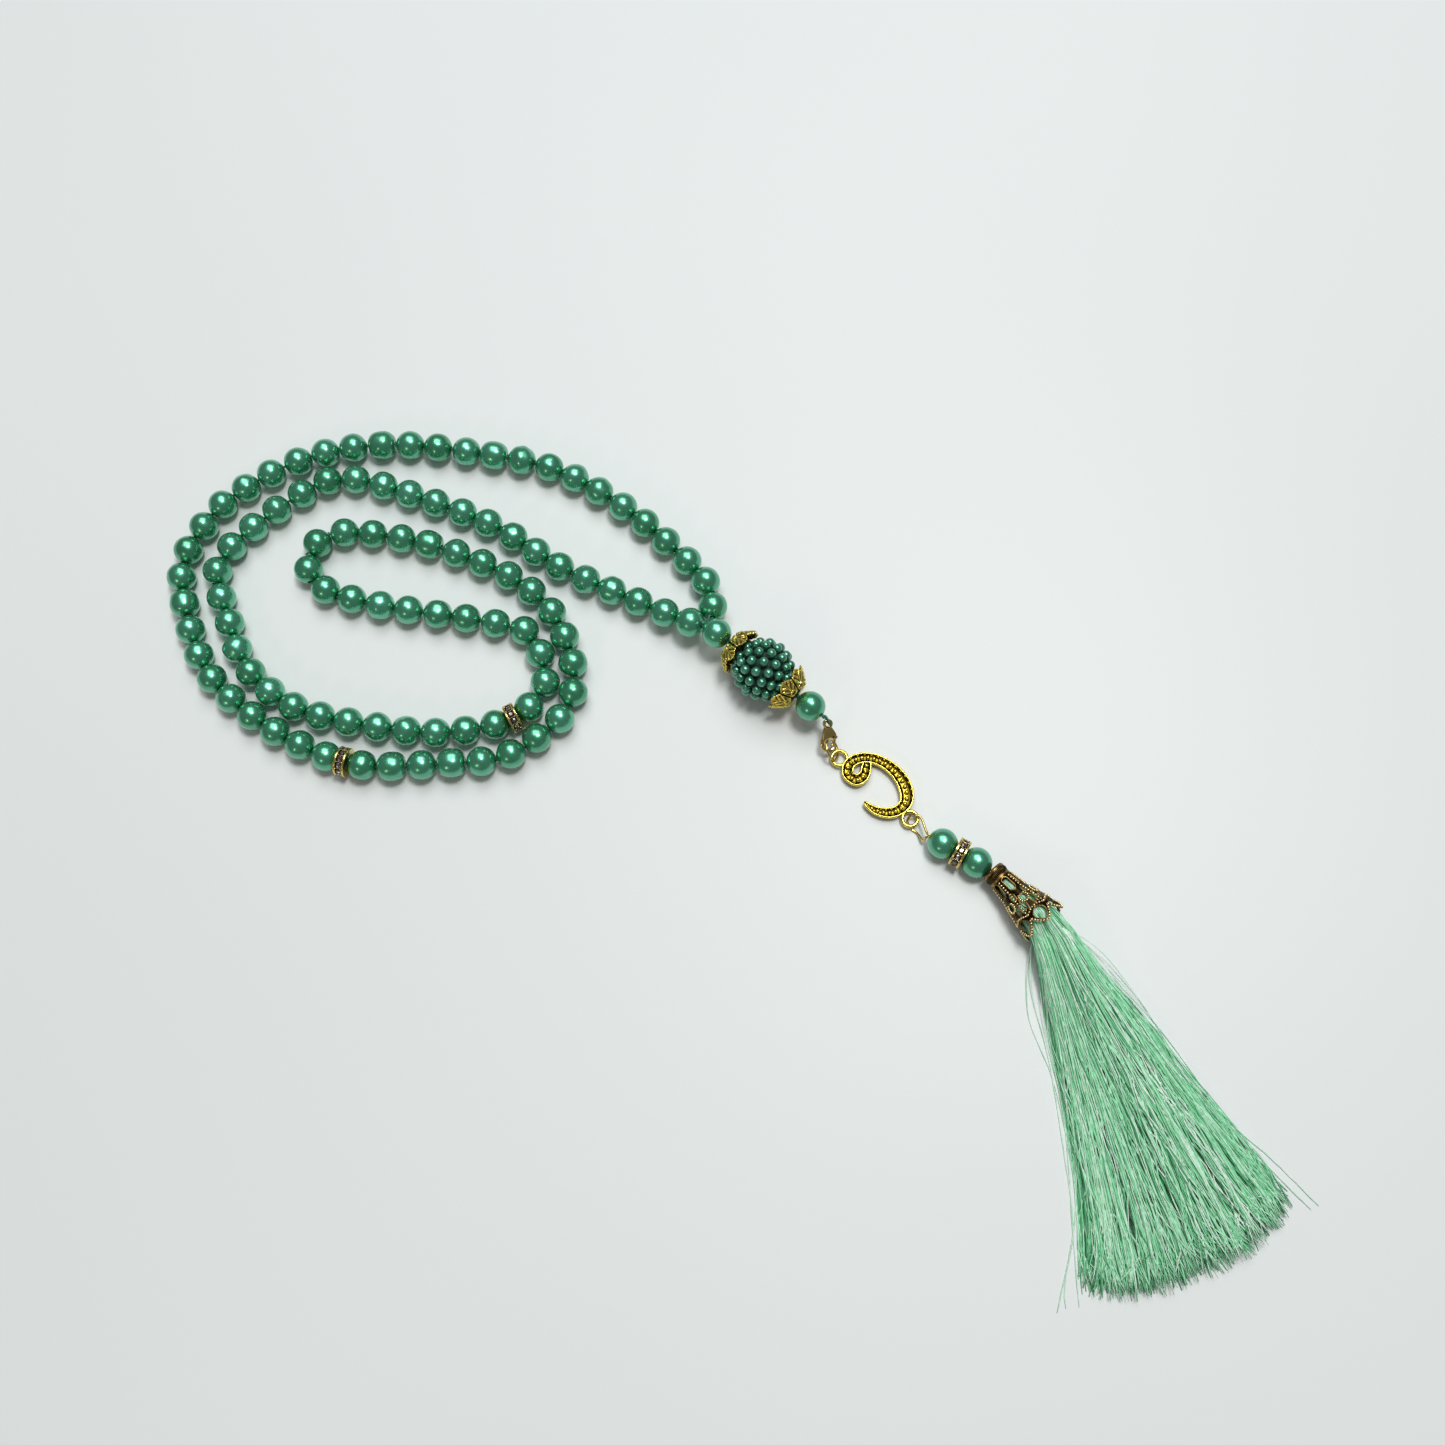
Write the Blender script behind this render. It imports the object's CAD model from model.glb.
"""Prayer beads laid out on a pale table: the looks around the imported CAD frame.

Everything is in the row frame. Lengths in the builders below are in millimetres, and become
metres when a mesh is made.
"""

import math

import bmesh
import bpy
import numpy as np
from mathutils import Matrix, Vector


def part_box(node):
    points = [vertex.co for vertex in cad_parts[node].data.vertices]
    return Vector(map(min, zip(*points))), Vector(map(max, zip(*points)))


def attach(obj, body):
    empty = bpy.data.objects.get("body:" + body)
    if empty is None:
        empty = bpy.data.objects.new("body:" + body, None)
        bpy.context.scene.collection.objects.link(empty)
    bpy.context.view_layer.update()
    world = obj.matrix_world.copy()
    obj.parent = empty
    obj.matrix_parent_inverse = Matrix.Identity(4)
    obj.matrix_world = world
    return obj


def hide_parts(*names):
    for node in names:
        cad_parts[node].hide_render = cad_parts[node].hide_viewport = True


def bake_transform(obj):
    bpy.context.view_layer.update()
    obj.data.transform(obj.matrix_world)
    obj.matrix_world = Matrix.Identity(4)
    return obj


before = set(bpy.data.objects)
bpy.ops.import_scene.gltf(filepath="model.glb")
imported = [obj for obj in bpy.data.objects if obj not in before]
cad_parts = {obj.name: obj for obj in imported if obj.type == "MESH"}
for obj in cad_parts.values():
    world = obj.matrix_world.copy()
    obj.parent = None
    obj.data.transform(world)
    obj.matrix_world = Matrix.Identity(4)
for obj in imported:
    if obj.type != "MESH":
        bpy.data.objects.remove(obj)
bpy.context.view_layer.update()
MM = 0.001
scene = bpy.context.scene
rng = np.random.default_rng(20240)


# ---- small vector helpers ------------------------------------------------------------------------


def vec(*values):
    return np.array(values, float)


def unit(v):
    v = np.asarray(v, float)
    return v / np.linalg.norm(v, axis=-1, keepdims=True)


def lerp(a, b, t):
    return a + (b - a) * t


def smoothstep(low, high, x):
    t = np.clip((x - low) / (high - low), 0, 1)
    return t * t * (3 - 2 * t)


def heading(turn, dip):
    turn, dip = math.radians(turn), math.radians(dip)
    return vec(math.cos(dip) * math.cos(turn), math.cos(dip) * math.sin(turn), -math.sin(dip))


def frame_along(direction):
    """Columns x, y, z with z along the direction, turned as OpenSCAD's rotate([0, b, c]) does."""
    d = unit(direction)
    b = math.acos(max(-1, min(1, d[2])))
    c = math.atan2(d[1], d[0])
    x = vec(math.cos(b) * math.cos(c), math.cos(b) * math.sin(c), -math.sin(b))
    y = vec(-math.sin(c), math.cos(c), 0)
    return np.stack([x, y, d], 1)


def placed(points, position, axes):
    return np.asarray(points) @ axes.T + position


def euler(turns):
    """The matrix of OpenSCAD's rotate([x, y, z])."""
    x, y, z = (math.radians(t) for t in turns)
    rx = np.array([[1, 0, 0], [0, math.cos(x), -math.sin(x)], [0, math.sin(x), math.cos(x)]])
    ry = np.array([[math.cos(y), 0, math.sin(y)], [0, 1, 0], [-math.sin(y), 0, math.cos(y)]])
    rz = np.array([[math.cos(z), -math.sin(z), 0], [math.sin(z), math.cos(z), 0], [0, 0, 1]])
    return rz @ ry @ rx


def smooth_path(points, steps):
    """A Catmull-Rom curve through the points."""
    p = np.asarray(points, float)
    before = np.vstack([p[:1], p[:-2]])
    after = np.vstack([p[2:], p[-1:]])
    a, b, c, d = before, p[:-1], p[1:], after
    t = np.arange(steps)[None, :, None] / steps
    a, b, c, d = a[:, None], b[:, None], c[:, None], d[:, None]
    curve = 0.5 * (2 * b + (c - a) * t + (2 * a - 5 * b + 4 * c - d) * t**2
                   + (3 * b - a - 3 * c + d) * t**3)
    return np.vstack([curve.reshape(-1, p.shape[1]), p[-1:]])


# ---- mesh builders -------------------------------------------------------------------------------


class Build:
    """Collects vertices (mm), faces and one value per vertex, and makes one object of them."""

    def __init__(self):
        self.verts, self.faces, self.tints, self.count = [], [], [], 0

    def add(self, verts, faces, tint=0.5):
        verts = np.asarray(verts, float).reshape(-1, 3)
        tint = np.broadcast_to(np.asarray(tint, float), (len(verts),))
        self.verts.append(verts)
        self.tints.append(tint)
        for f in faces if isinstance(faces, list) else [faces]:
            f = np.asarray(f, np.int64)
            if len(f):
                self.faces.append(f + self.count)
        self.count += len(verts)

    def make(self, name, material, smooth=True):
        verts = np.vstack(self.verts) * MM
        loops = np.concatenate([f.ravel() for f in self.faces])
        sizes = np.concatenate([np.full(len(f), f.shape[1]) for f in self.faces])
        mesh = bpy.data.meshes.new(name)
        mesh.vertices.add(len(verts))
        mesh.vertices.foreach_set("co", verts.ravel())
        mesh.loops.add(len(loops))
        mesh.loops.foreach_set("vertex_index", loops)
        mesh.polygons.add(len(sizes))
        mesh.polygons.foreach_set("loop_start", np.concatenate([[0], np.cumsum(sizes)[:-1]]))
        mesh.polygons.foreach_set("loop_total", sizes)
        mesh.update(calc_edges=True)
        mesh.validate()
        mesh.polygons.foreach_set("use_smooth", np.full(len(mesh.polygons), smooth))
        tint = mesh.attributes.new("tint", "FLOAT", "POINT")
        tint.data.foreach_set("value", np.concatenate(self.tints).astype(np.float32))
        face_out = bmesh.new()
        face_out.from_mesh(mesh)
        bmesh.ops.recalc_face_normals(face_out, faces=face_out.faces)
        face_out.to_mesh(mesh)
        face_out.free()
        mesh.materials.append(material)
        piece = bpy.data.objects.new(name, mesh)
        scene.collection.objects.link(piece)
        return piece


def grid_faces(rows, around, closed=True):
    """Quads between rows of points, each row a ring (closed) or a strip."""
    i = np.arange(rows - 1)[:, None] * around
    k = np.arange(around if closed else around - 1)[None, :]
    k2 = (k + 1) % around
    return np.stack([i + k, i + k2, i + around + k2, i + around + k], -1).reshape(-1, 4)


def lathe(profile, around=48, closed_profile=False):
    """Turns a profile of (radius, height) about Z. A closed profile makes a ring."""
    profile = np.asarray(profile, float)
    a = 2 * np.pi * np.arange(around) / around
    ring = np.stack([np.cos(a), np.sin(a)], -1)
    verts = np.concatenate([profile[:, None, :1] * ring[None],
                            np.broadcast_to(profile[:, None, 1:2], (len(profile), around, 1))], -1)
    faces = grid_faces(len(profile), around)
    if closed_profile:
        k = np.arange(around)
        k2 = (k + 1) % around
        base = (len(profile) - 1) * around
        faces = np.vstack([faces, np.stack([base + k, base + k2, k2, k], -1)])
    return verts.reshape(-1, 3), faces[:, ::-1]


def carried_frames(path, side=(0, 0, 1), loop=False):
    """Unit tangents along a path, and two side directions carried along it without twist."""
    path = np.asarray(path, float)
    if loop:
        tangent = unit(np.roll(path, -1, 0) - np.roll(path, 1, 0))
    else:
        tangent = unit(np.vstack([path[1:], path[-1:]]) - np.vstack([path[:1], path[:-1]]))
    sides = np.empty_like(path)
    side = np.asarray(side, float)
    for i, t in enumerate(tangent):
        across = side - (side @ t) * t
        if np.linalg.norm(across) < 1e-6:
            across = np.cross(t, (0.3, 0.5, 0.8))
        side = unit(across)
        sides[i] = side
    return tangent, sides, np.cross(tangent, sides)


def tube(path, radius, sides=10, side=(0, 0, 1), loop=False):
    """A round tube along a path. The radius may be one number, or one for each point."""
    path = np.asarray(path, float)
    _, s, u = carried_frames(path, side, loop)
    radius = np.broadcast_to(np.asarray(radius, float), (len(path),))
    a = 2 * np.pi * np.arange(sides) / sides
    verts = (path[:, None] + radius[:, None, None]
             * (np.cos(a)[None, :, None] * s[:, None] + np.sin(a)[None, :, None] * u[:, None]))
    faces = [grid_faces(len(path), sides)]
    base = (len(path) - 1) * sides
    k = np.arange(sides)
    if loop:
        faces = [np.vstack([faces[0],
                            np.stack([base + k, base + (k + 1) % sides, (k + 1) % sides, k], -1)])]
    else:
        faces += [k[::-1][None], (base + k)[None]]
    return verts.reshape(-1, 3), faces


def plies(path, radius, count=3, pitch=2.2, sides=7, loop=False):
    """Twisted plies along a path, as (vertices, faces) of each ply."""
    path = np.asarray(path, float)
    _, s, u = carried_frames(path, loop=loop)
    steps = np.linalg.norm(np.diff(path, axis=0), axis=1)
    run = np.concatenate([[0], np.cumsum(steps)])
    turns = run / pitch
    if loop:
        whole = run[-1] + np.linalg.norm(path[0] - path[-1])
        turns = run / whole * round(whole / pitch)
    ply_r = radius * (0.5 if count == 2 else 0.48)
    orbit = radius - ply_r
    for n in range(count):
        a = 2 * np.pi * (turns + n / count)
        line = path + orbit * (np.cos(a)[:, None] * s + np.sin(a)[:, None] * u)
        yield tube(line, ply_r, sides, loop=loop)


def ball(radius, around=24, rows=14):
    """A sphere with pole points, smooth enough for beads of this size."""
    lat = np.linspace(-np.pi / 2, np.pi / 2, rows + 2)[1:-1]
    verts, faces = lathe(np.stack([radius * np.cos(lat), radius * np.sin(lat)], 1), around)
    n = len(verts)
    verts = np.vstack([verts, [[0, 0, -radius], [0, 0, radius]]])
    k = np.arange(around)
    k2 = (k + 1) % around
    top = (rows - 1) * around
    fans = np.vstack([np.stack([np.full(around, n), k, k2], -1),
                      np.stack([np.full(around, n + 1), top + k2, top + k], -1)])
    return verts, [faces, fans]


# ---- where things lie, as in the CAD source (mm, before its shift to the middle) -----------------

PEARL_R = 4.0
BORE_R = 0.75
SLACK, FOLD_SLACK, SPACER_PITCH = 0.04, 0.3, 10.2
PEARLS, THIRD = 99, 33
CORD_R = 0.325
TAIL_BORE_R = SPACER_BORE_R = 0.9
# Distance from a pearl's middle to where its bore opens
MOUTH = PEARL_R - 0.35
# How far a run's cord reaches past its end pearls, and how far from the knot the first run starts
CORD_PROUD, KNOT_CLEAR = 0.05, 1.1
BARRELS = {11, 15, 25, 35, 37, 50}
FOLDS = {3, 6, 9, 12, 15, 18, 42, 45, 47, 49, 51, 57, 59, 61, 62, 64, 83, 86, 89, 91, 94, 97}
LOOP_ROUTE = [
    (-19.6, 134, 1.3), (-21.8, 142, 0.3), (-27, 148, 0), (-44, 163.5, 0), (-65, 176, 0),
    (-89, 181.5, 0), (-113, 184, 0), (-136, 180, 0), (-157, 167.5, 0), (-166, 154, 0),
    (-168, 146, 0), (-164, 130, 0), (-157, 116, 0), (-145, 105, 0), (-130, 96, 0),
    (-113, 90.5, 0), (-89, 91, 0), (-74, 93, 0), (-60.5, 103, 0), (-57, 111, 0),
    (-57.5, 119, 0), (-63.5, 133, 0), (-76, 144, 0), (-97, 153, 0), (-113, 156.5, 0),
    (-122, 157.5, 0), (-130.5, 154, 0), (-132, 146, 0), (-126, 140, 0), (-110, 135.5, 0),
    (-86, 131.5, 0), (-70, 127.5, 0), (-66, 120, 0), (-65, 112, 0), (-70.5, 105, 0),
    (-80, 101, 0), (-96, 99.5, 0), (-120, 103, 0), (-135, 108, 0), (-147.5, 119, 0),
    (-154, 134, 0), (-157, 142, 0), (-157, 150, 0), (-147, 161, 0), (-134, 170.5, 0),
    (-127, 173.5, 0), (-118.5, 173, 0), (-103, 168, 0), (-81, 159, 0), (-61, 146, 0),
    (-40, 136, 0.2), (-33, 132.5, 1.2), (-26.2, 129.2, 2.8), (-22, 127.4, 4),
]
BERRY_R = 8.6
SEED_R = 1.3
HEAD_POS = vec(-5.9, 115, BERRY_R)
HEAD_DIR = heading(-39, 2.5)
CAP_RIM_X, CAP_APEX_X = 6.4, 11.8
HEAD_PEARL_X = CAP_APEX_X + PEARL_R + 0.15
JUNCTION = HEAD_POS - HEAD_PEARL_X * HEAD_DIR
KNOT = JUNCTION - (PEARL_R + 0.1) * HEAD_DIR
EYE_Z = 1.45
CHARM_UPPER = vec(14.1, 92.4, EYE_Z)
CHARM_LOWER = vec(32.3, 76, EYE_Z)
TASSEL_POS = vec(40.3, 68.9, PEARL_R)
TASSEL_DIR = heading(-30, 0)
TASSEL_SIDE = vec(-TASSEL_DIR[1], TASSEL_DIR[0], 0)
TASSEL_SPACER = TASSEL_POS + 4.95 * TASSEL_DIR
TASSEL_PEARL_2 = TASSEL_POS + 9.9 * TASSEL_DIR
CAP_DIR = heading(-47.5, -5)
CAP_POS = TASSEL_PEARL_2 + (PEARL_R + 0.1) * TASSEL_DIR + 0.25 * CAP_DIR + vec(0, 0, 0.65)
CAP_LEN = 19.0

low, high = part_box("junction_pearl")
SHIFT = np.array((low + high) / 2) / MM - JUNCTION
SHIFT[2] = 0


def walk():
    """The pearls' centres, stepping along the route by each pearl's own spacing."""
    line = smooth_path([(x, y, z + PEARL_R) for x, y, z in LOOP_ROUTE], 14)
    here, i, centres = line[0], 0, [line[0]]
    for k in range(1, PEARLS):
        touching = 2 * PEARL_R + (FOLD_SLACK if k in FOLDS else SLACK)
        far = SPACER_PITCH if k % THIRD == 0 else touching
        while i < len(line) - 2 and np.linalg.norm(line[i + 1] - here) < far:
            i += 1
        a, b = line[i] - here, line[i + 1] - line[i]
        p, q = (a @ b) / (b @ b), (a @ a - far * far) / (b @ b)
        here = line[i] + (-p + math.sqrt(max(0, p * p - q))) * b
        centres.append(here)
    return np.array(centres)


LOOP = walk()


def bead(k):
    return LOOP[k - 1] if 1 <= k <= PEARLS else KNOT


def bead_axis(k):
    return unit(bead(k + 1) - bead(k - 1))


HEAD_RUNS = [((1, 3), (98, 99)), ((4, 6), (95, 97)), ((7, 9), (92, 94)),
             ((10, 12), (90, 91)), ((13, 15), (87, 89)), ((16, 18), (84, 86))]
TIP_RUNS = [((43, 45), (63, 64)), ((46, 47), (62, 62)), ((48, 49), (60, 61)),
            ((50, 51), (58, 59)), ((52, 57),)]
STRETCHES = ([("base", "base_pearls_outer", "base_cord_outer", ((19, 42),)),
              ("base", "base_pearls_inner", "base_cord_inner", ((65, 83),))]
             + [(f"head_run_{i + 1}", f"head_run_pearls_{i + 1}", f"head_run_cord_{i + 1}", run)
                for i, run in enumerate(HEAD_RUNS)]
             + [(f"tip_run_{i + 1}", f"tip_run_pearls_{i + 1}", f"tip_run_cord_{i + 1}", run)
                for i, run in enumerate(TIP_RUNS)])


# ---- materials -----------------------------------------------------------------------------------


class Finish:
    """A node material built around one Principled shader."""

    def __init__(self, name, **sockets):
        self.material = bpy.data.materials.new(name)
        self.material.use_nodes = True
        self.tree = self.material.node_tree
        self.shader = self.tree.nodes["Principled BSDF"]
        for key, value in sockets.items():
            self.shader.inputs[key.replace("_", " ")].default_value = value

    def node(self, kind, **values):
        node = self.tree.nodes.new(kind)
        for key, value in values.items():
            if key in node.inputs:
                node.inputs[key].default_value = value
            else:
                setattr(node, key, value)
        return node

    def link(self, source, target):
        self.tree.links.new(source, target)

    def object_coords(self):
        return self.node("ShaderNodeTexCoord").outputs["Object"]

    def noise(self, scale, detail=3.0, roughness=0.5):
        noise = self.node("ShaderNodeTexNoise", Scale=scale, Detail=detail, Roughness=roughness)
        self.link(self.object_coords(), noise.inputs["Vector"])
        return noise.outputs["Fac"]

    def voronoi(self, scale):
        cells = self.node("ShaderNodeTexVoronoi", Scale=scale)
        self.link(self.object_coords(), cells.inputs["Vector"])
        return cells.outputs["Distance"]

    def attribute(self, name):
        return self.node("ShaderNodeAttribute", attribute_name=name).outputs["Fac"]

    def ramp(self, source, *stops):
        ramp = self.node("ShaderNodeValToRGB").color_ramp
        owner = self.tree.nodes[-1]
        ramp.elements[0].position, ramp.elements[0].color = stops[0][0], (*stops[0][1], 1)
        ramp.elements[1].position, ramp.elements[1].color = stops[-1][0], (*stops[-1][1], 1)
        for position, colour in stops[1:-1]:
            ramp.elements.new(position).color = (*colour, 1)
        self.link(source, owner.inputs["Fac"])
        return owner.outputs["Color"]

    def spread(self, source, low, high, at_low, at_high):
        node = self.node("ShaderNodeMapRange")
        for key, value in zip(("From Min", "From Max", "To Min", "To Max"),
                              (low, high, at_low, at_high)):
            node.inputs[key].default_value = value
        self.link(source, node.inputs["Value"])
        return node.outputs["Result"]

    def mix(self, factor, a, b):
        node = self.node("ShaderNodeMix", data_type="RGBA")
        for source, socket in ((factor, node.inputs[0]), (a, node.inputs[6]), (b, node.inputs[7])):
            if isinstance(source, tuple):
                socket.default_value = (*source, 1)
            else:
                self.link(source, socket)
        return node.outputs[2]

    def bump(self, source, strength, distance_mm):
        bump = self.node("ShaderNodeBump", Strength=strength, Distance=distance_mm * MM)
        self.link(source, bump.inputs["Height"])
        self.link(bump.outputs["Normal"], self.shader.inputs["Normal"])

    def colour(self, source):
        self.link(source, self.shader.inputs["Base Color"])

    def roughness(self, source):
        self.link(source, self.shader.inputs["Roughness"])


def pearl_finish(name, deep, light, rough=(0.24, 0.33), metallic=0.86, coat=0.6):
    f = Finish(name, Metallic=metallic, Coat_Weight=coat, Coat_Roughness=0.13, Coat_IOR=1.6,
               Specular_IOR_Level=0.6)
    cloud = f.noise(420, 4)
    tone = f.mix(f.attribute("tint"), deep, light)
    f.colour(f.mix(f.spread(cloud, 0.35, 0.7, 0, 0.45), tone, light))
    f.roughness(f.spread(f.noise(2600, 2), 0.3, 0.7, *rough))
    f.bump(f.noise(1500, 5, 0.6), 0.12, 0.05)
    return f.material


def gold_finish(name, bright, dark, rough=(0.2, 0.36), pits=0.16):
    """The tint attribute is 1 on raised metal and 0 down in the recesses."""
    grain = 1800
    f = Finish(name, Metallic=1.0)
    height = f.attribute("tint")
    patch = f.noise(grain * 0.35, 4)
    worn = f.mix(f.spread(patch, 0.35, 0.7, 0, 0.5), bright, tuple(0.72 * c for c in bright))
    f.colour(f.mix(f.spread(height, 0.15, 0.85, 0, 1), dark, worn))
    f.roughness(f.spread(f.noise(grain, 3), 0.3, 0.7, *rough))
    f.bump(f.noise(grain * 1.6, 4, 0.6), pits, 0.05)
    return f.material


def thread_finish(name, deep, light, pale, rough=0.42):
    """The tint attribute goes from deep, down between threads, to pale on the outermost."""
    grain = 3250
    f = Finish(name, Roughness=rough, Specular_IOR_Level=0.6, Sheen_Weight=0.12,
               Sheen_Roughness=0.4)
    strand = f.attribute("tint")
    tone = f.ramp(strand, (0.0, deep), (0.45, light), (1.0, pale))
    streak = f.noise(900, 3)
    f.colour(f.mix(f.spread(streak, 0.35, 0.75, 0, 0.3), tone, deep))
    f.bump(f.noise(grain, 2), 0.35, 0.06)
    return f.material


GREEN = pearl_finish("green_pearl", (0.05, 0.32, 0.15), (0.13, 0.52, 0.33))
SEED_GREEN = pearl_finish("seed_green", (0.03, 0.2, 0.11), (0.1, 0.38, 0.26),
                          rough=(0.26, 0.36), metallic=0.75, coat=0.7)
GILT = gold_finish("gilt", (0.95, 0.74, 0.17), (0.14, 0.075, 0.008), rough=(0.14, 0.26))
CHARM_GOLD = gold_finish("charm_gold", (0.78, 0.63, 0.12), (0.11, 0.075, 0.006), rough=(0.12, 0.22))
CLASP_GOLD = gold_finish("clasp_gold", (0.72, 0.52, 0.19), (0.07, 0.04, 0.01), rough=(0.12, 0.22))
WIRE_GOLD = gold_finish("wire_gold", (0.66, 0.5, 0.17), (0.2, 0.13, 0.03), rough=(0.1, 0.2),
                        pits=0.08)
BRONZE = gold_finish("antique_bronze", (0.3, 0.19, 0.06), (0.012, 0.007, 0.004),
                     rough=(0.2, 0.4))
GRAIN_GOLD = gold_finish("worn_grain_gold", (1.0, 0.8, 0.4), (0.4, 0.26, 0.09),
                         rough=(0.18, 0.32))
RIM_GOLD = gold_finish("rim_gold", (0.78, 0.6, 0.22), (0.09, 0.055, 0.02), rough=(0.14, 0.26))
STEEL = gold_finish("spring_steel", (0.55, 0.55, 0.56), (0.12, 0.12, 0.12), pits=0.1)
CORD_GREEN = thread_finish("cord_thread", (0.004, 0.06, 0.035), (0.01, 0.15, 0.09),
                           (0.03, 0.24, 0.15), rough=0.6)
MINT = thread_finish("mint_thread", (0.02, 0.26, 0.09), (0.3, 0.82, 0.46), (0.9, 1.0, 0.93))
CORE_GREEN = thread_finish("core_thread", (0.002, 0.02, 0.014), (0.004, 0.04, 0.026),
                           (0.01, 0.07, 0.045), rough=0.75)


def crystal_finish():
    f = Finish("crystal", Roughness=0.04, IOR=1.62, Coat_Weight=0.4, Coat_Roughness=0.03)
    f.shader.inputs["Metallic"].default_value = 0.8
    facet = f.attribute("tint")
    glints = f.ramp(facet, (0.0, (0.02, 0.015, 0.02)), (0.4, (0.14, 0.11, 0.12)),
                    (0.7, (0.75, 0.68, 0.7)), (1.0, (1.0, 0.96, 0.97)))
    f.colour(f.mix(f.spread(f.voronoi(1100), 0.2, 0.4, 0, 0.9), glints, (0.05, 0.04, 0.045)))
    return f.material


CRYSTAL = crystal_finish()


def show(build, name, material, body, slot, *nodes, smooth=True):
    """Makes the piece, moves it into the row frame, and has it ride and replace CAD nodes."""
    build.verts = [v + SHIFT for v in build.verts]
    piece = build.make(name, material, smooth)
    if body:
        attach(piece, body)
    if nodes:
        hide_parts(*nodes)
    return piece


# ---- pearls --------------------------------------------------------------------------------------


def pearl_shape(hole_r, barrel=False, seed=0):
    """A pearl with rounded, slightly sunken bore mouths and its own faint unevenness."""
    own = np.random.default_rng(7000 + seed)
    around = 56
    lip = 0.16
    start = math.asin((hole_r + lip) / PEARL_R)
    turns = np.linspace(start, math.pi - start, 38)
    r, z = PEARL_R * np.sin(turns), -PEARL_R * np.cos(turns)
    if barrel:
        r = PEARL_R * np.sin(turns) ** 0.62
        z = z * 0.95
    z_end = abs(z[0])
    corner = np.linspace(0, math.pi / 2, 5)[1:]
    inner_r = hole_r + lip * (1 - np.sin(corner))
    inner_z = z_end - lip * (1 - np.cos(corner)) * 0.9
    depth = z_end - 1.4
    profile = np.vstack([
        [[hole_r, -depth]], np.stack([inner_r[::-1], -inner_z[::-1]], 1),
        np.stack([r, z], 1), np.stack([inner_r, inner_z], 1), [[hole_r, depth]]])
    verts, faces = lathe(profile, around, closed_profile=True)
    swell = np.zeros(len(verts))
    for _ in range(3):
        way = unit(own.normal(size=3))
        swell += own.normal() * 0.006 * np.cos(own.uniform(1, 2.4) * (verts @ way) + own.uniform(0, 6))
    outside = smoothstep(hole_r + lip, hole_r + 1, np.linalg.norm(verts[:, :2], axis=1))
    verts = verts * (1 - 0.004 + swell * outside)[:, None]
    return verts, faces


def add_pearl(build, position, axis, hole_r=BORE_R, barrel=False, seed=0):
    verts, faces = pearl_shape(hole_r, barrel, seed)
    spin = np.random.default_rng(seed).uniform(0, 2 * math.pi)
    c, s = math.cos(spin), math.sin(spin)
    verts = verts @ np.array([[c, -s, 0], [s, c, 0], [0, 0, 1]]).T
    tint = np.clip(np.random.default_rng(900 + seed).normal(0.5, 0.16), 0, 1)
    build.add(placed(verts, position, frame_along(axis)), faces, tint)


def cord_line(first, last):
    """Points through each pearl's bore, joined by a smooth curve with a bend in each gap.

    The curve overshoots where points are close: it runs back on itself a little at the mouths,
    and passes each end point by 0.26 mm, so neighbouring stretches overlap at the folds.
    """
    proud = PEARL_R + CORD_PROUD
    points = [KNOT + KNOT_CLEAR * unit(bead(1) - KNOT)] if first == 1 else []
    points.append(bead(first) - proud * bead_axis(first))
    for k in range(first, last + 1):
        for side in (-1, 1):
            points.append(bead(k) + side * MOUTH * bead_axis(k))
    points.append(bead(last) + proud * bead_axis(last))
    return smooth_path(points, 4)


for body, pearl_node, cord_node, run in STRETCHES:
    pearls, cord = Build(), Build()
    for first, last in run:
        for k in range(first, last + 1):
            add_pearl(pearls, bead(k), bead_axis(k), barrel=k in BARRELS, seed=k)
        for verts, faces in plies(cord_line(first, last), CORD_R, pitch=2.4):
            cord.add(verts, faces, rng.uniform(0.3, 0.8))
    show(pearls, pearl_node + "_strung", GREEN, body, "pearl", pearl_node)
    show(cord, cord_node + "_twisted", CORD_GREEN, body, "cord", cord_node)

for name, position, axis, hole in (
    ("junction_pearl", JUNCTION, HEAD_DIR, TAIL_BORE_R),
    ("end_pearl", HEAD_POS + HEAD_PEARL_X * HEAD_DIR, HEAD_DIR, TAIL_BORE_R),
    ("tassel_pearl_1", TASSEL_POS, TASSEL_DIR, BORE_R),
    ("tassel_pearl_2", TASSEL_PEARL_2, TASSEL_DIR, BORE_R),
):
    single = Build()
    add_pearl(single, position, axis, hole, seed=200 + len(name))
    show(single, name + "_lacquered", GREEN, name, "pearl", name)


# ---- stone-set spacers ---------------------------------------------------------------------------

SPACER_R = 4.0
SPACER_HALF = 1.45
STONES = 12


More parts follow.
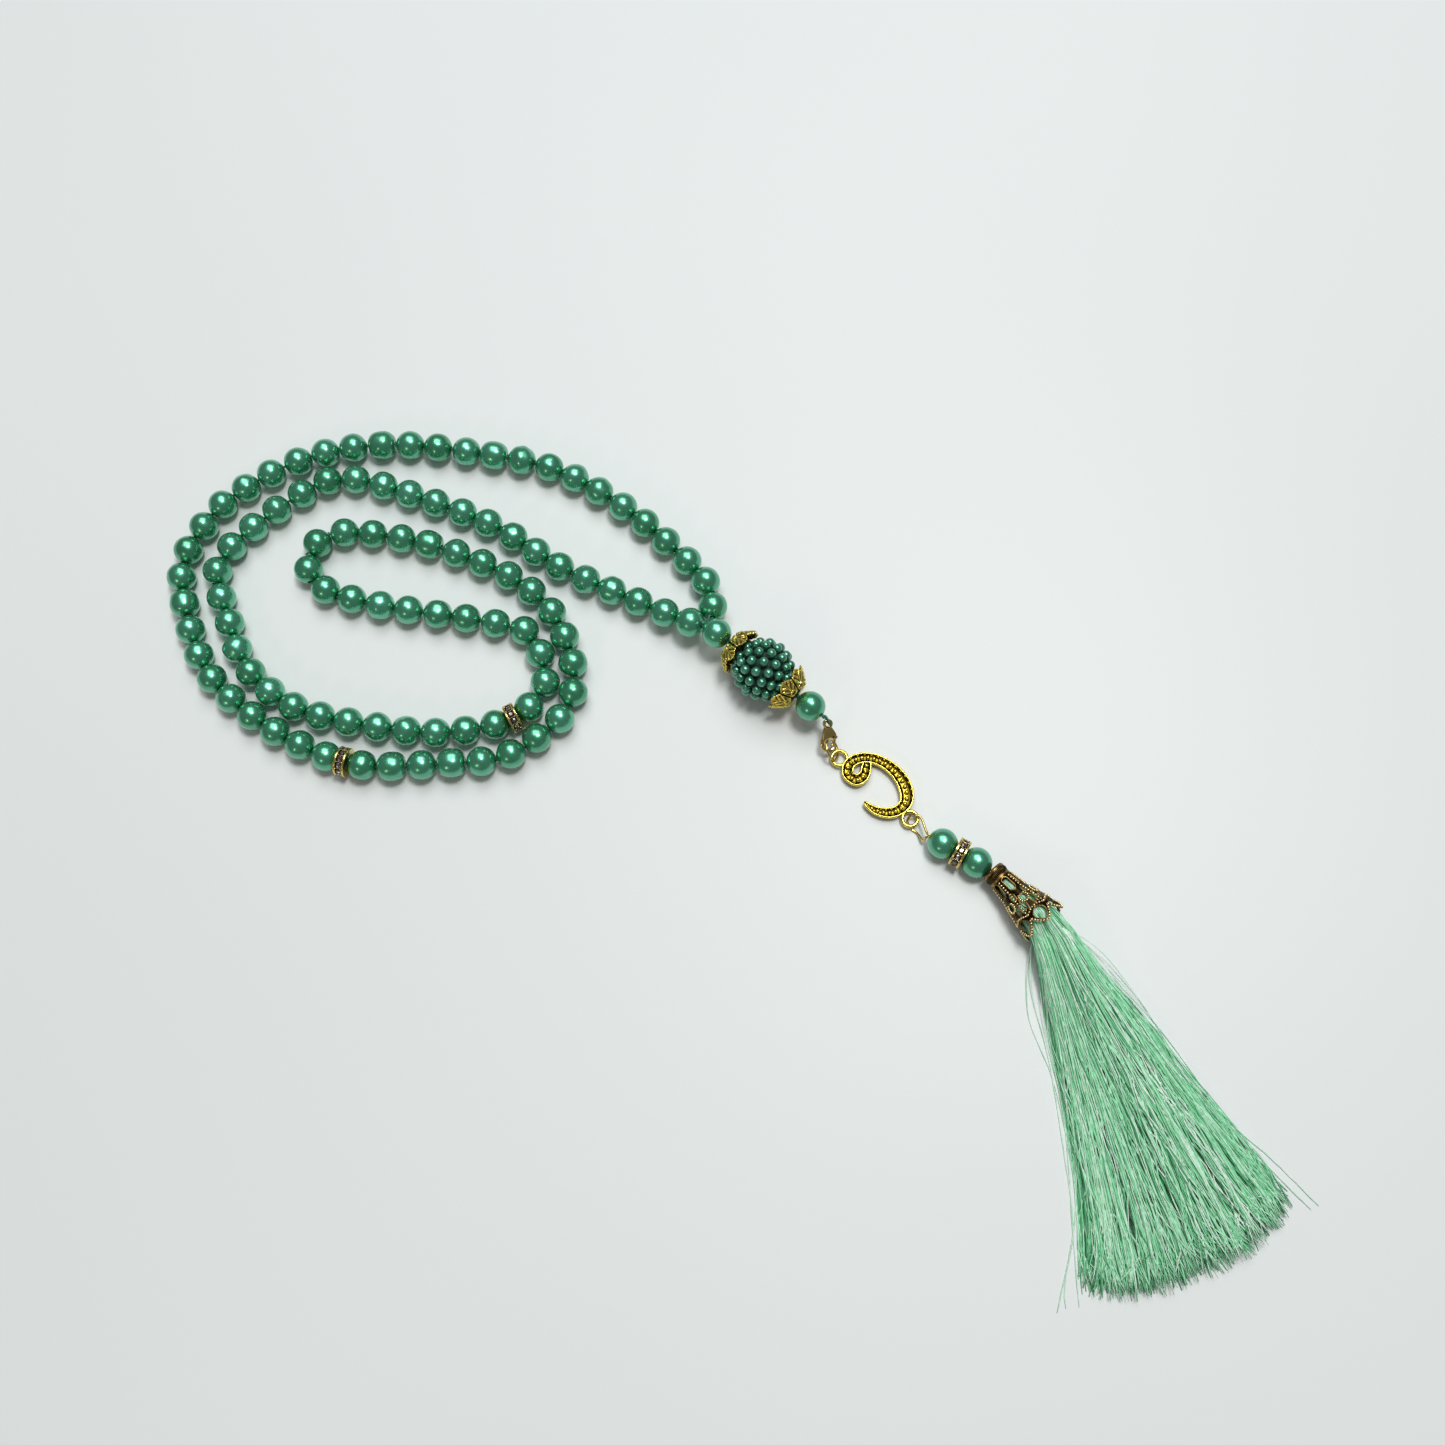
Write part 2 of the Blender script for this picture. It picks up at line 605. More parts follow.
def add_spacer(ring, stones, position, axis, hole_r, phase):
    axes = frame_along(axis)
    web_r, web_half, seat = 1.7, 0.95, SPACER_R - 0.72
    groove = 0.86
    lip = 0.12
    outer = [(hole_r, -web_half), (web_r, -web_half), (web_r + 1, -SPACER_HALF),
             (SPACER_R - lip, -SPACER_HALF), (SPACER_R, -SPACER_HALF + lip),
             (SPACER_R, -groove - 0.14), (SPACER_R - 0.1, -groove), (seat, -groove + 0.06),
             (seat, groove - 0.06), (SPACER_R - 0.1, groove), (SPACER_R, groove + 0.14),
             (SPACER_R, SPACER_HALF - lip), (SPACER_R - lip, SPACER_HALF),
             (web_r + 1, SPACER_HALF), (web_r, web_half), (hole_r, web_half)]
    dense = []
    for a, b in zip(outer, outer[1:] + outer[:1]):
        a, b = vec(*a), vec(*b)
        dense += [a, lerp(a, b, 0.12), lerp(a, b, 0.88)]
    verts, faces = lathe(dense, 96, closed_profile=True)
    deep = np.hypot(verts[:, 0], verts[:, 1])
    tint = np.where((abs(verts[:, 2]) < groove) & (deep > seat - 0.1) & (deep < seat + 0.3), 0.0, 1.0)
    ring.add(placed(verts, position, axes), faces, tint)
    pin, pin_faces = ball(0.19, 12, 7)
    for k in range(STONES):
        a = 2 * math.pi * (k + phase) / STONES
        out = vec(math.cos(a), math.sin(a), 0)
        across = vec(-math.sin(a), math.cos(a), 0)
        stone_axes = np.stack([across, vec(0, 0, 1), out], 1)
        add_stone(stones, placed([[0, 0, seat + 0.02]], 0, stone_axes)[0], stone_axes, position, axes)
        half = math.pi / STONES
        gap = vec(math.cos(a + half), math.sin(a + half), 0)
        for z in (-0.72, 0.72):
            at = gap * (SPACER_R - 0.17) + vec(0, 0, z)
            ring.add(placed(pin * vec(1, 1, 0.9) + at, position, axes), pin_faces, 0.9)
        bar = np.array([gap * (SPACER_R - 0.42) + vec(0, 0, z) for z in np.linspace(-0.8, 0.8, 5)])
        ring.add(*_moved(tube(bar, 0.11, 8, side=(1, 0, 0.01)), position, axes), 0.55)


def _moved(shape, position, axes):
    verts, faces = shape
    return placed(verts, position, axes), faces


def add_stone(stones, seat, stone_axes, position, axes):
    """A round chaton: girdle, eight crown facets in two rows, and a table."""
    r, girdle, crown = 0.78, 0.24, 0.38
    a8 = 2 * math.pi * np.arange(8) / 8
    rings = [(r * 0.96, 0.0, 0), (r, girdle * 0.5, 0), (r, girdle, 0),
             (r * 0.8, girdle + crown * 0.62, 0.5), (r * 0.52, girdle + crown, 0)]
    tints = (0.1, 0.3, 0.5, 0.8, 1.0)
    points, tint = [], []
    for (radius, height, shift), t in zip(rings, tints):
        turn = a8 + shift * math.pi / 4
        points.append(np.stack([radius * np.cos(turn), radius * np.sin(turn),
                                np.full(8, height)], 1))
        tint += [t] * 8
    verts = np.vstack(points)
    k = np.arange(8)
    faces = [grid_faces(3, 8)]
    triangles = []
    for low_ring, up_ring, lead in ((2, 3, 0), (3, 4, 1)):
        lo, hi = low_ring * 8, up_ring * 8
        if lead == 0:
            triangles += [np.stack([lo + k, lo + (k + 1) % 8, hi + k], -1),
                          np.stack([hi + k, lo + (k + 1) % 8, hi + (k + 1) % 8], -1)]
        else:
            triangles += [np.stack([lo + k, hi + (k + 1) % 8, hi + k], -1),
                          np.stack([lo + k, lo + (k + 1) % 8, hi + (k + 1) % 8], -1)]
    faces += [np.vstack(triangles), k[::-1][None], (32 + k)[None]]
    local = placed(verts, seat, stone_axes)
    stones.add(placed(local, position, axes), faces, np.array(tint))


def spacer_place(after):
    middle = (bead(after) + MOUTH * bead_axis(after)
              + bead(after + 1) - MOUTH * bead_axis(after + 1)) / 2
    return middle, bead(after + 1) - bead(after)


for name, (position, axis), hole, body in (
    ("spacer", spacer_place(THIRD), SPACER_BORE_R, "spacer_1"),
    ("spacer", spacer_place(2 * THIRD), SPACER_BORE_R, "spacer_2"),
    ("tassel_spacer", (TASSEL_SPACER, TASSEL_DIR), BORE_R, "tassel_spacer"),
):
    suffix = body[-2:] if name == "spacer" else ""
    ring, stones = Build(), Build()
    add_spacer(ring, stones, position, axis, hole, phase=0)
    show(ring, f"{name}_rims{suffix}", RIM_GOLD, body, "gilt", f"{name}_ring{suffix}")
    show(stones, f"{name}_chatons{suffix}", CRYSTAL, body, "crystal", f"{name}_stones{suffix}",
         smooth=False)


# ---- the head ------------------------------------------------------------------------------------


def solidified(piece, thickness):
    """Gives a sheet its thickness and keeps the result as the piece's own mesh."""
    modifier = piece.modifiers.new("thickness", "SOLIDIFY")
    modifier.thickness, modifier.offset = thickness * MM, -1.0
    modifier.use_even_offset = False
    graph = bpy.context.evaluated_depsgraph_get()
    mesh = bpy.data.meshes.new_from_object(piece.evaluated_get(graph))
    piece.modifiers.clear()
    piece.data = mesh
    return piece


def leaf_cap(build, position, axis, phase=0.0):
    """A dome of eight pointed, veined leaves. Its own Z runs from the rim towards the hole."""
    half = math.pi / 8                                       # half of one leaf's turn
    around, rows = 400, 72
    phi = 2 * math.pi * np.arange(around) / around
    x = (np.mod(phi + half, 2 * half) - half) / half        # -1 to 1 across one leaf
    t = np.linspace(0, 1, rows)[:, None]                     # 0 at the hole, 1 at the tip
    reach = 1 - 0.26 * (0.4 * abs(x) + 0.6 * abs(x) ** 2.4)[None]
    down = t * reach
    turn = lerp(math.asin(0.95 / 6.7), math.radians(82), down)
    rim_r, depth = 6.7, 5.4
    r = rim_r * np.sin(turn)
    z = depth * np.cos(turn)
    width = abs(x)[None] * np.clip(r / rim_r, 0.1, 1) * half * rim_r     # mm from the midrib
    edge = (1 - t) * 5.5 * reach                                         # mm from the leaf's rim
    side_gap = (half * r) * (1 - abs(x)[None])                           # mm from the next leaf
    leafy = smoothstep(0.2, 0.34, down)
    midrib = 0.42 * np.exp(-((width / 0.3) ** 2)) * leafy
    veins = 0.34 * (0.5 + 0.5 * np.cos(2 * math.pi * (down * 6.4 - width) / 1.35)) * leafy
    veins = veins * smoothstep(0.2, 0.5, width) * smoothstep(0.1, 0.5, side_gap)
    border = (0.3 * np.exp(-((edge / 0.26) ** 2))
              + 0.24 * np.exp(-(((side_gap - 0.3) / 0.17) ** 2)) * leafy)
    valley = -0.42 * np.exp(-((side_gap / 0.2) ** 2)) * leafy
    collar = 0.22 * np.exp(-(((down - 0.1) * 7 / 0.5) ** 2)) + 0 * width
    loops = np.hypot((down - 0.36) * 7.4, width) - 0.72
    bosses = 0.42 * np.exp(-((loops / 0.24) ** 2)) - 0.2 * smoothstep(0.1, -0.3, loops)
    puff = 0.14 * np.sin(np.pi * np.clip(side_gap / (half * np.maximum(r, 0.5)), 0, 1)) * leafy
    relief = midrib + veins + border + valley + collar + bosses + puff
    out = 1 + (relief - 0.3) / rim_r
    verts = np.stack([r * np.cos(phi) * out, r * np.sin(phi) * out, z * out + 0 * r], -1)
    tint = np.clip((relief - 0.08) / 0.42, 0, 1)
    c, s = math.cos(phase), math.sin(phase)
    verts = verts.reshape(-1, 3) @ np.array([[c, -s, 0], [s, c, 0], [0, 0, 1]]).T
    build.add(placed(verts, position, frame_along(axis)), grid_faces(rows, around), tint.ravel())


for name, way in (("upper_leaf_cap", -1), ("lower_leaf_cap", 1)):
    cap = Build()
    leaf_cap(cap, HEAD_POS + way * CAP_RIM_X * HEAD_DIR, way * HEAD_DIR, phase=0.2)
    solidified(show(cap, name + "_leaves", GILT, name, "gilt", name), 0.42)

core = Build()
verts, faces = ball(5.75, 48, 30)
wound = 0.06 * np.sin(9 * np.arctan2(verts[:, 1], verts[:, 0]) + 2.2 * verts[:, 2])
core.add(placed(verts * (1 + wound / 5.75)[:, None], HEAD_POS, frame_along(HEAD_DIR)), faces,
         rng.uniform(0, 1, len(verts)))
show(core, "berry_core_wound", CORE_GREEN, "berry", "berry_core", "berry_core")

SEED_ROWS = [(0, 14, 0), (22, 14, 0.5), (-22, 14, 0.5), (44, 10, 0), (-44, 10, 0),
             (66, 6, 0.5), (-66, 6, 0.5)]
seeds, lacing = Build(), Build()
head_axes = frame_along(HEAD_DIR)
for lat, count, lead in SEED_ROWS:
    lat = math.radians(lat)
    places = []
    for k in range(count):
        a = 2 * math.pi * (k + lead) / count
        out = vec(math.cos(lat) * math.cos(a), math.cos(lat) * math.sin(a), math.sin(lat))
        along_row = vec(-math.sin(a), math.cos(a), 0)
        seat = (BERRY_R - SEED_R) * out
        start = 0.22
        turns = np.linspace(start, math.pi - start, 18)
        profile = [(0.13, -0.9)] + [(SEED_R * math.sin(t), -SEED_R * 0.985 * math.cos(t))
                                    for t in turns] + [(0.13, 0.9)]
        verts, faces = lathe(profile, 28, closed_profile=True)
        verts = verts * vec(*(1 + rng.normal(0, 0.012, 3)).clip(0.97, 1.0))
        lean = frame_along(unit(along_row + 0.12 * rng.normal(size=3)))
        verts = placed(placed(verts, 0, lean) + seat, HEAD_POS, head_axes)
        seeds.add(verts, faces, np.clip(rng.normal(0.5, 0.2), 0, 1))
        places.append(seat)
    thread = smooth_path(np.array(places + places[:1]), 5)[:-1]
    verts, faces = tube(placed(thread, HEAD_POS, head_axes), 0.12, 6, side=HEAD_DIR, loop=True)
    lacing.add(verts, faces, 0.6)
show(seeds, "berry_seed_pearls", SEED_GREEN, "berry", "seed_pearl", "berry_seeds")
show(lacing, "berry_lacing", CORE_GREEN, "berry", "berry_core")

# Both cord ends: a knot, the straight stretch through the head, and the loop for the clasp
tail = Build()
ends = np.array([KNOT + s * HEAD_DIR for s in np.linspace(-0.2, 2 * HEAD_PEARL_X + 2 * PEARL_R + 1, 60)])
for verts, faces in plies(ends, 0.7, count=2, pitch=5, sides=10):
    tail.add(verts, faces, 0.5)
turn = np.linspace(0, 4 * math.pi, 60)
knot_path = KNOT + 0.42 * np.stack([np.cos(turn) * (1 + 0.2 * np.cos(1.5 * turn)),
                                    np.sin(turn) * (1 + 0.2 * np.cos(1.5 * turn)),
                                    0.5 * np.sin(1.5 * turn)], 1) @ frame_along(HEAD_DIR).T
for verts, faces in plies(knot_path, 0.36, count=2, pitch=1.6, sides=8):
    tail.add(verts, faces, 0.6)
LOOP_POS = vec(10.9, 101.4, 7.2)
a = 2 * math.pi * np.arange(48) / 48
loop_ring = np.stack([1.1 * np.cos(a), 1.1 * np.sin(a), 0 * a], 1) @ euler((90, 0, -62)).T + LOOP_POS
for verts, faces in plies(loop_ring, 0.3, count=3, pitch=1.1, sides=7, loop=True):
    tail.add(verts, faces, 0.5)
show(tail, "tail_cord_twisted", CORD_GREEN, "head_cord", "cord", "tail_cord")


# ---- clasp, rings and charm ----------------------------------------------------------------------


def cast_copy(node, name, material, body, voxel_mm, smoothing):
    """A cast-looking copy of a CAD node: the same shape with its hard edges worn round."""
    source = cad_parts[node]
    piece = bpy.data.objects.new(name, source.data.copy())
    scene.collection.objects.link(piece)
    remesh = piece.modifiers.new("skin", "REMESH")
    remesh.mode, remesh.voxel_size = "VOXEL", voxel_mm * MM
    soften = piece.modifiers.new("soften", "SMOOTH")
    soften.iterations, soften.factor = smoothing, 0.5
    graph = bpy.context.evaluated_depsgraph_get()
    mesh = bpy.data.meshes.new_from_object(piece.evaluated_get(graph))
    piece.modifiers.clear()
    piece.data = mesh
    mesh.materials.clear()
    mesh.materials.append(material)
    mesh.polygons.foreach_set("use_smooth", np.ones(len(mesh.polygons), bool))
    co = np.empty(len(mesh.vertices) * 3)
    mesh.vertices.foreach_get("co", co)
    co = co.reshape(-1, 3)
    normal = np.empty(len(mesh.vertices) * 3)
    mesh.vertices.foreach_get("normal", normal)
    normal = normal.reshape(-1, 3)
    tint = hollows(mesh, co, normal)
    mesh.attributes.new("tint", "FLOAT", "POINT").data.foreach_set("value", tint.astype(np.float32))
    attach(piece, body)
    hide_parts(node)
    return piece


BLUR_ROUNDS = 9


def hollows(mesh, co, normal):
    """About 1 on ridges and flats, and towards 0 in hollows: how far the neighbours rise."""
    edges = np.empty(len(mesh.edges) * 2, np.int64)
    mesh.edges.foreach_get("vertices", edges)
    a, b = edges.reshape(-1, 2).T
    number = np.bincount(np.concatenate([a, b]), minlength=len(co))[:, None]
    blurred = co
    for _ in range(BLUR_ROUNDS):
        total = np.zeros_like(co)
        for axis in range(3):
            total[:, axis] = (np.bincount(a, blurred[b, axis], len(co))
                              + np.bincount(b, blurred[a, axis], len(co)))
        blurred = total / number
    rise = ((blurred - co) * normal).sum(1) / MM
    return np.clip(0.75 - rise / 0.06, 0, 1)


cast_copy("clasp_body", "clasp_body_cast", CLASP_GOLD, "clasp", 0.06, 6)
cast_copy("clasp_lever", "clasp_lever_cast", CLASP_GOLD, "clasp_lever", 0.045, 4)

# The charm's band, swept with raised edges, and its two eyes. [x, y, half width] from the eye
CHARM_LINE = [
    (7.2, -1.25, 1.25), (7.05, -2.8, 1.45), (6.3, -5.0, 1.55), (4.4, -6.05, 1.65),
    (2.4, -4.7, 1.65), (2.25, -2.5, 1.65), (3.75, -0.8, 1.6), (6.7, 0.0, 1.5), (10.2, -0.7, 1.5),
    (13.6, -2.8, 1.65), (16.1, -5.7, 1.85), (17.4, -9, 1.95), (17.3, -11.9, 1.8),
    (15.6, -14, 1.6), (12.7, -14.9, 1.5), (9.7, -14.4, 1.25), (7.6, -13.2, 0.9), (6.3, -11.9, 0.55)]
CHARM_T = 2.4
FLOOR_Z = 1.62


def band_section(width):
    """Half of a section from the groove's middle out over the raised edge and down to the table."""
    edge = min(0.3, width * 0.42)
    inner = max(width - 2 * edge, 0.06)
    points = [(0.0, FLOOR_Z), (inner * 0.55, FLOOR_Z), (inner * 0.92, FLOOR_Z + 0.08)]
    for t in np.linspace(0.15, 1, 9):
        a = math.pi * (1 - t)
        points.append((width - edge + edge * 0.96 * math.cos(a),
                       FLOOR_Z + 0.28 + (CHARM_T - FLOOR_Z - 0.28) * math.sin(a) ** 0.8))
    points += [(width, 1.6), (width, 0.9), (width * 0.985, 0.35), (width * 0.93, 0.08),
               (width * 0.84, 0.01), (0.0, 0.01)]
    return np.array(points)


charm, granules = Build(), Build()
line = smooth_path(CHARM_LINE, 14)
flat = line[:, :2]
tangent = unit(np.vstack([flat[1:], flat[-1:]]) - np.vstack([flat[:1], flat[:-1]]))
run = np.concatenate([[0], np.cumsum(np.linalg.norm(np.diff(flat, axis=0), axis=1))])
ends_round = np.sqrt(np.clip(1 - np.clip(1 - (run[-1] - run) / 0.6, 0, 1) ** 2, 0.04, 1))
rows, charm_tint = [], []
for here, way, half_width, rounding in zip(flat, tangent, line[:, 2], ends_round):
    section = band_section(half_width)
    section = np.vstack([section, section[-2:0:-1] * vec(-1, 1)])
    out = vec(-way[1], way[0])
    x = section[:, :1] * rounding
    rows.append(np.hstack([here + x * out, section[:, 1:]])
                + vec(CHARM_UPPER[0], CHARM_UPPER[1], 0))
    charm_tint.append(np.clip((section[:, 1] - FLOOR_Z + 0.02) / 0.4, 0, 1)
                      + (abs(section[:, 0]) > half_width * 0.97))
around = len(rows[0])
last = (len(rows) - 1) * around
k = np.arange(around)
charm.add(np.vstack(rows), [grid_faces(len(rows), around), k[::-1][None], (last + k)[None]],
          np.clip(np.concatenate(charm_tint), 0.05, 1))
a = 2 * math.pi * np.arange(64) / 64
for centre in (CHARM_UPPER, CHARM_LOWER):
    circle = np.stack([2 * np.cos(a), 2 * np.sin(a), 0 * a], 1) + centre
    verts, faces = tube(circle, 0.52, 16, loop=True)
    charm.add(verts, faces, 0.9)
dome, dome_faces = ball(1.0, 20, 12)
at = 0.95
while at < run[-1] - 0.9:
    x, y, half_width = (np.interp(at, run, line[:, axis]) for axis in range(3))
    size = min(0.6, 0.62 * (half_width - 0.42) + 0.14)
    granules.add(dome * vec(size, size, size * 0.95)
                 + vec(x + CHARM_UPPER[0], y + CHARM_UPPER[1], FLOOR_Z + 0.3), dome_faces,
                 np.clip(-0.35 + 1.7 * dome[:, 2], 0, 1))
    at += 2 * size + 0.42
show(charm, "scroll_charm_band", CHARM_GOLD, "scroll_charm", "gilt", "scroll_charm")
show(granules, "scroll_charm_granules", CHARM_GOLD, "scroll_charm", "gilt")
for node, material in (("clasp_pin", CLASP_GOLD), ("clasp_spring", STEEL)):
    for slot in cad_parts[node].material_slots:
        slot.material = material

# The jump ring, as a coil cut through at one place
a = np.radians(np.linspace(2, 359, 90))
opened = np.linspace(-0.07, 0.07, 90)
ring_line = np.stack([2.75 * np.cos(a), 2.75 * np.sin(a), opened], 1)
jump = Build()
verts, faces = tube(ring_line @ euler((0, 56, 7)).T + vec(12.2, 94.5, 2.75), 0.34, 16)
jump.add(verts, faces, 1.0)
show(jump, "jump_ring_coiled", WIRE_GOLD, "jump_ring", "wire_gold", "jump_ring")

# The hanger wire, by the same route as in the CAD
off = 0.34 * TASSEL_SIDE
mouth_pos = TASSEL_POS - (PEARL_R + 0.1) * TASSEL_DIR
cap_entry = TASSEL_PEARL_2 + (PEARL_R + 0.1) * TASSEL_DIR
wire_end = CAP_POS + 3.4 * CAP_DIR
eye = CHARM_LOWER
wire_points = [
    wire_end + off, cap_entry + off, TASSEL_PEARL_2 + off, TASSEL_POS + off, mouth_pos + off,
    mouth_pos + vec(-0.5, 1.3, -0.5), eye + vec(2.7, -0.1, 1.7), eye + vec(1, 0.8, 1.25),
    eye + vec(-0.1, 0.5, 0.1), eye + vec(-0.6, -0.6, -1), eye + vec(0.3, -2.4, -1.12),
    eye + vec(1.9, -3.7, -0.9), mouth_pos + vec(-1.2, -0.8, -1.6), mouth_pos - off,
    TASSEL_POS - off, TASSEL_PEARL_2 - off, cap_entry - off, wire_end - off]
wire = Build()
verts, faces = tube(smooth_path(wire_points, 9), 0.33, 14, side=TASSEL_SIDE)
wire.add(verts, faces, 1.0)
show(wire, "hanger_wire_drawn", WIRE_GOLD, "hanger", "wire_gold", "hanger_wire")


# ---- filigree cap --------------------------------------------------------------------------------


def cut_sheet(field):
    """The part of a closed ring's grid where the field is above 0, cut along its zero line.

    Gives the grid places (row, column, as fractions) of the vertices, and lists of faces.
    """
    rows, cols = field.shape
    inside = field > 0
    ids = -np.ones((rows, cols), np.int64)
    ids[inside] = np.arange(inside.sum())
    places = [np.argwhere(inside).astype(float)]
    count = int(inside.sum())
    right = np.roll(field, -1, 1)
    cross_h = (field > 0) != (right > 0)
    h_ids = -np.ones((rows, cols), np.int64)
    at = np.argwhere(cross_h)
    t = field[cross_h] / (field[cross_h] - right[cross_h])
    h_ids[cross_h] = count + np.arange(len(at))
    places.append(np.stack([at[:, 0], at[:, 1] + np.clip(t, 0.06, 0.94)], 1))
    count += len(at)
    cross_v = (field[:-1] > 0) != (field[1:] > 0)
    v_ids = -np.ones((rows, cols), np.int64)
    at = np.argwhere(cross_v)
    t = field[:-1][cross_v] / (field[:-1][cross_v] - field[1:][cross_v])
    v_ids[:-1][cross_v] = count + np.arange(len(at))
    places.append(np.stack([at[:, 0] + np.clip(t, 0.06, 0.94), at[:, 1]], 1))

    def shifted(a, down, across):
        return np.roll(a, -across, 1)[down:down + rows - 1]

    corners = [shifted(ids, 0, 0), shifted(ids, 0, 1), shifted(ids, 1, 1), shifted(ids, 1, 0)]
    sides = [shifted(h_ids, 0, 0), shifted(v_ids, 0, 1), shifted(h_ids, 1, 0), shifted(v_ids, 0, 0)]
    corners = [c.ravel() for c in corners]
    sides = [c.ravel() for c in sides]
    case = sum((corners[k] >= 0).astype(int) << k for k in range(4))
    faces = []
    for number in range(1, 16):
        chosen = case == number
        if not chosen.any():
            continue
        loop = []
        for k in range(4):
            here, there = number >> k & 1, number >> ((k + 1) % 4) & 1
            if here:
                loop.append(corners[k][chosen])
            if here != there:
                loop.append(sides[k][chosen])
        faces.append(np.stack(loop, -1))
    return np.vstack(places), faces


CAP_PROFILE = [(0, 3.2), (0.08, 3.45), (0.16, 3.1), (0.4, 3.7), (0.7, 5.3), (1, 6.3)]
PETALS = 6
HALF_PETAL = math.pi / PETALS
cap_axes = frame_along(CAP_DIR)


def cap_radius(s):
    return np.interp(s / CAP_LEN, [p[0] for p in CAP_PROFILE], [p[1] for p in CAP_PROFILE])


def petal_edge(x):
    """How far down a petal reaches, from x = 0 at its middle to 1 between petals."""
    return CAP_LEN - 3.3 * (0.45 * x + 0.55 * x ** 2.4)


def capsule(u, v, v_mid, half_long, half_wide):
    """Distance outside an upright rounded slot."""
    dv = np.maximum(abs(v - v_mid) - (half_long - half_wide), 0)
    return np.hypot(u, dv) - half_wide


def leaf_hole(u, v, low, high, wide):
    """Distance outside a pointed opening, roughly, widest a third of the way down."""
    t = np.clip((v - low) / (high - low), 0, 1)
    half = wide * np.sin(np.pi * t ** 0.8) ** 0.9
    return np.maximum((abs(u) - half) * 0.9, np.maximum(low - v, v - high))


def filigree():
    cols, rows = 6 * 64, 190
    phi = 2 * math.pi * np.arange(cols) / cols
    s = np.linspace(0.0, CAP_LEN + 0.05, rows)
    phi_grid, s_grid = np.meshgrid(phi, s)
    local = np.mod(phi_grid + HALF_PETAL, 2 * HALF_PETAL) - HALF_PETAL
    between = HALF_PETAL - abs(local)
    r = cap_radius(s_grid)
    u, w = r * local, r * between
    x = abs(local) / HALF_PETAL
    holes = [
        capsule(u, s_grid, 5.4, 1.95, 0.82),
        capsule(w, s_grid, 8.9, 0.95, 0.55),
        np.hypot(u, s_grid - 10.4) - 0.86,
        leaf_hole(abs(u) - 1.32, s_grid, 10.3, 13.4, 0.5),
        capsule(w, s_grid, 12.4, 1.15, 0.52),
        leaf_hole(u, s_grid, 14.3, CAP_LEN - 0.75, 1.75),
    ]
    rim = (petal_edge(x) - s_grid) * 0.75
    field = np.minimum.reduce(holes + [rim])
    places, faces = cut_sheet(field)
    row, col = places[:, 0], places[:, 1]
    ss = np.interp(row, np.arange(rows), s)
    pp = 2 * math.pi * col / cols
    i0, j0 = np.floor(row).astype(int), np.floor(col).astype(int)
    near = field[i0, j0 % cols]
    local_p = np.mod(pp + HALF_PETAL, 2 * HALF_PETAL) - HALF_PETAL
    rr = cap_radius(ss)
    beaded = 0.13 * np.exp(-(((near - 0.14) / 0.14) ** 2))
    bands = 0.16 * (np.exp(-(((ss - 0.45) / 0.3) ** 2)) + np.exp(-(((ss - 2.9) / 0.28) ** 2)))
    mill = 0.05 * np.cos(48 * pp) * (np.exp(-(((ss - 1.7) / 0.6) ** 2)))
    dome = 0.1 * np.cos(math.pi * local_p / HALF_PETAL / 2)
    relief = beaded + bands + mill
    out = rr - 0.22 + relief + dome * (ss > 3)
    verts = np.stack([out * np.cos(pp), out * np.sin(pp), ss], 1)
    return verts, faces, np.clip(0.18 + relief / 0.16, 0, 1)


cap = Build()
verts, faces, tint = filigree()
cap.add(placed(verts, CAP_POS, cap_axes), faces, tint)
# The closed small end, a dished plate with the wire's hole
end_profile = [(0.62, 0.12), (0.8, 0.0), (1.6, -0.02), (2.4, 0.02), (2.95, 0.05), (3.1, 0.3),
               (3.0, 0.5), (2.3, 0.42), (0.9, 0.45), (0.62, 0.35)]
verts, faces = lathe(end_profile, 72, closed_profile=True)
plate = Build()
plate.add(placed(verts, CAP_POS, cap_axes), faces, 0.55)
solidified(show(cap, "filigree_sheet", BRONZE, "filigree_cap", "antique_bronze",
                "filigree_cap"), 0.3)
show(plate, "filigree_end_plate", BRONZE, "filigree_cap", "antique_bronze")

# Rows of granules and wires soldered on the sheet
grains, wires = Build(), Build()
grain, grain_faces = ball(0.29, 12, 8)
wire_lines = []
for k in range(PETALS):
    middle = 2 * HALF_PETAL * k
    rib = [(middle + HALF_PETAL, s) for s in np.linspace(3.5, 15.3, 48)]
    outline = []
    for side in (-1, 1):
        line = [(middle + side * HALF_PETAL * t, petal_edge(t) - 0.3)
                for t in np.linspace(0.0, 0.97, 26)]
        outline.append(line)
    scroll = [(middle + 1.15 / 4.4 * math.sin(t), 10.4 - 1.25 * math.cos(t))
              for t in np.linspace(0.5, 2 * math.pi - 0.5, 30)]
    arch = [(middle + HALF_PETAL * t, 13.75 + 0.9 * abs(t) ** 1.5)
            for t in np.linspace(-0.95, 0.95, 26)]
    wire_lines += outline + [scroll]
    for line, pitch in [(rib, 0.78), (outline[0], 0.74), (outline[1], 0.74), (arch, 0.76),
                        (scroll, 0.6)]:
        line = np.array(line)
        radius = cap_radius(line[:, 1]) + 0.05
        points = np.stack([radius * np.cos(line[:, 0]), radius * np.sin(line[:, 0]), line[:, 1]], 1)
        run = np.concatenate([[0], np.cumsum(np.linalg.norm(np.diff(points, axis=0), axis=1))])
        for at in np.arange(pitch / 2, run[-1], pitch):
            p = vec(*(np.interp(at, run, points[:, a]) for a in range(3)))
            size = rng.uniform(0.9, 1.08)
            grains.add(placed(grain * size + p, CAP_POS, cap_axes), grain_faces, rng.uniform(0.6, 1))
